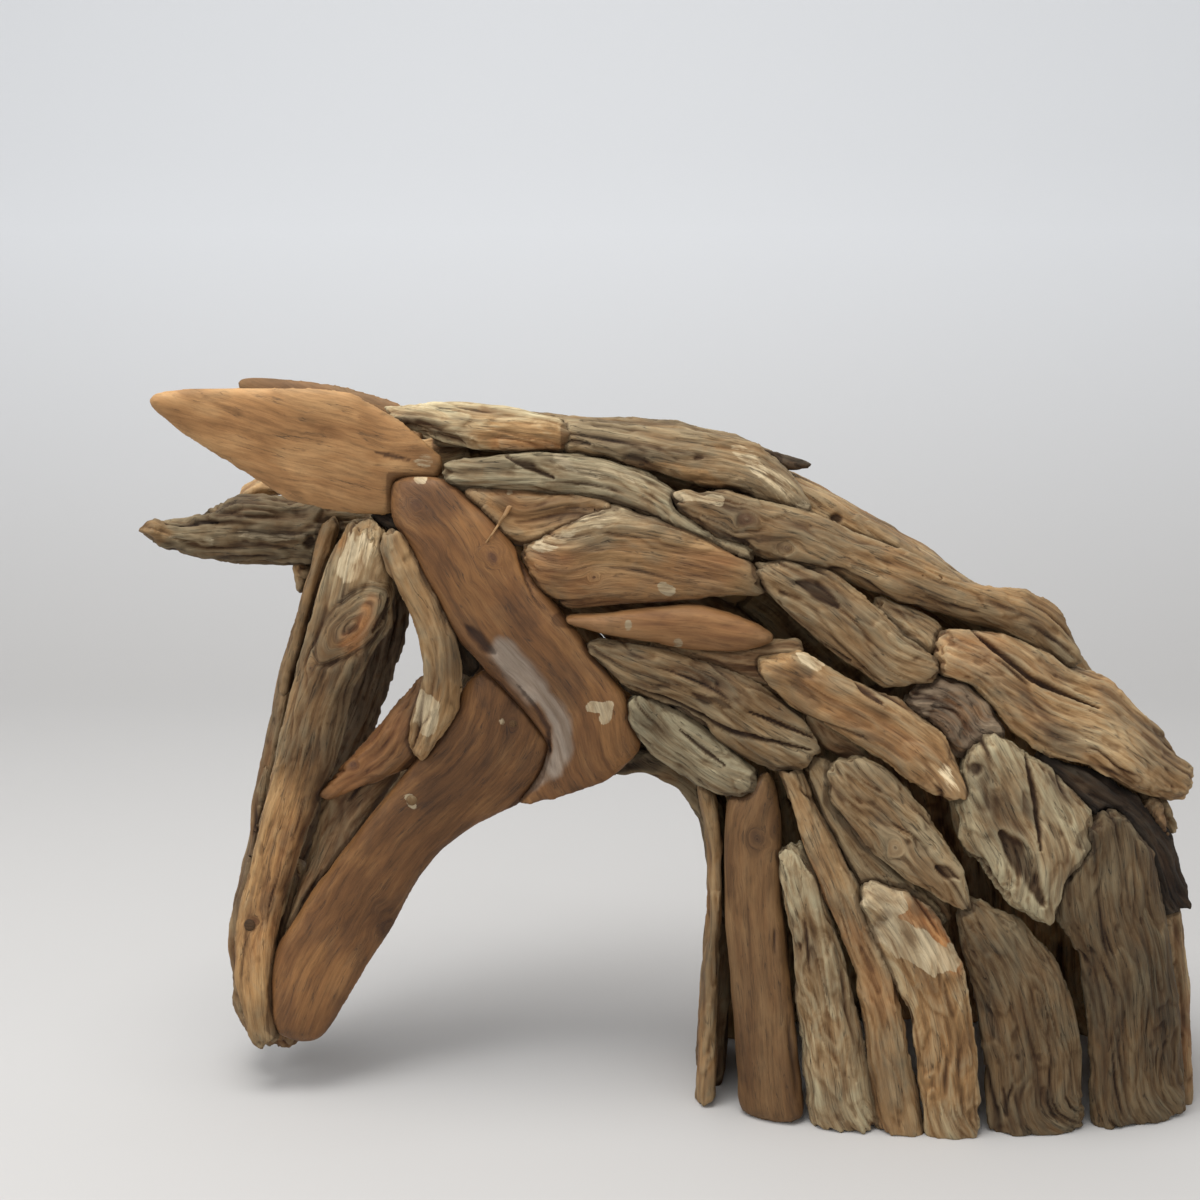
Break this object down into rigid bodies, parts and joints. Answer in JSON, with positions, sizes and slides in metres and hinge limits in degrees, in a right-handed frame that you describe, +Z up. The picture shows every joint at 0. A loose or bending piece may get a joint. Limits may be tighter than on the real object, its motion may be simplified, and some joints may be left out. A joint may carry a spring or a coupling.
{
  "type": "driftwood horse head sculpture",
  "caption": "Horse head and arched neck built from overlapping weathered driftwood planks and roots, cut off flat below the neck so that it stands as a bust.",
  "frame": {"origin": "middle of the overall box, on the floor that the sawn neck stands on", "axes": "+Z up, the horse looks along -X, and its near side, the one in the picture, faces -Y"},
  "size_m": [0.915, 0.2596, 0.6085],
  "materials": {
    "sanded_teak": "orange-brown wood sanded smooth, with flowing grain, knots and pale filler",
    "tan_wood": "tan driftwood worn smooth, with fine grain and shallow cracks",
    "brown_wood": "brown driftwood in the shade, with open grain",
    "grey_wood": "grey-brown weathered driftwood with long cracks and grooves",
    "bleached_wood": "pale sun-bleached driftwood with beige patches",
    "dark_wood": "dark grey-brown driftwood with rough bark-like grooves"
  },
  "bodies": {
    "root": {"cheek_strap": "tan_wood", "cheek_slab_near": "sanded_teak", "ear_near": "sanded_teak", "face_bar_near": "grey_wood", "jaw_slab_near": "sanded_teak", "mouth_wedge": "tan_wood", "nose_strip_near": "tan_wood", "cheek_slab_far": "tan_wood", "ear_far": "sanded_teak", "face_bar_far": "dark_wood", "jaw_slab_far": "brown_wood", "brow_root": "grey_wood", "nose_strip_middle": "brown_wood", "forelock_root": "tan_wood", "mouth_slat": "brown_wood", "brow_shard": "tan_wood", "muzzle_block": "brown_wood", "crest_front": "bleached_wood", "crest_middle": "grey_wood", "crest_long": "grey_wood", "crest_top": "grey_wood", "crest_spike": "dark_wood", "crest_rear": "tan_wood", "neck_sliver": "sanded_teak", "neck_bleached": "bleached_wood", "neck_cracked": "grey_wood", "neck_leaf": "tan_wood", "neck_patched": "tan_wood", "neck_scarred": "grey_wood", "neck_shoulder": "tan_wood", "neck_square_cut": "grey_wood", "neck_forked": "bleached_wood", "neck_pale_chip": "bleached_wood", "neck_corner": "grey_wood", "upright_knot": "sanded_teak", "upright_grey": "bleached_wood", "slant_tan": "tan_wood", "neck_foot": "grey_wood", "upright_edge": "tan_wood", "poll": "bleached_wood", "poll_lower": "tan_wood", "slant_grey": "grey_wood", "sunk_brown": "brown_wood", "sunk_grey": "grey_wood", "burr": "dark_wood", "sunk_dark": "dark_wood", "throat_upper": "grey_wood", "throat_lower": "brown_wood", "back_upper": "grey_wood", "back_lower_near": "brown_wood", "back_lower_far": "grey_wood", "far_crest_front": "grey_wood", "far_shoulder": "grey_wood", "far_crest_rear": "tan_wood", "far_lower": "brown_wood", "far_upper": "tan_wood", "far_middle_foot": "grey_wood", "far_front_foot": "tan_wood", "far_corner": "tan_wood", "far_rear_foot": "brown_wood"}
  },
  "joints": []
}
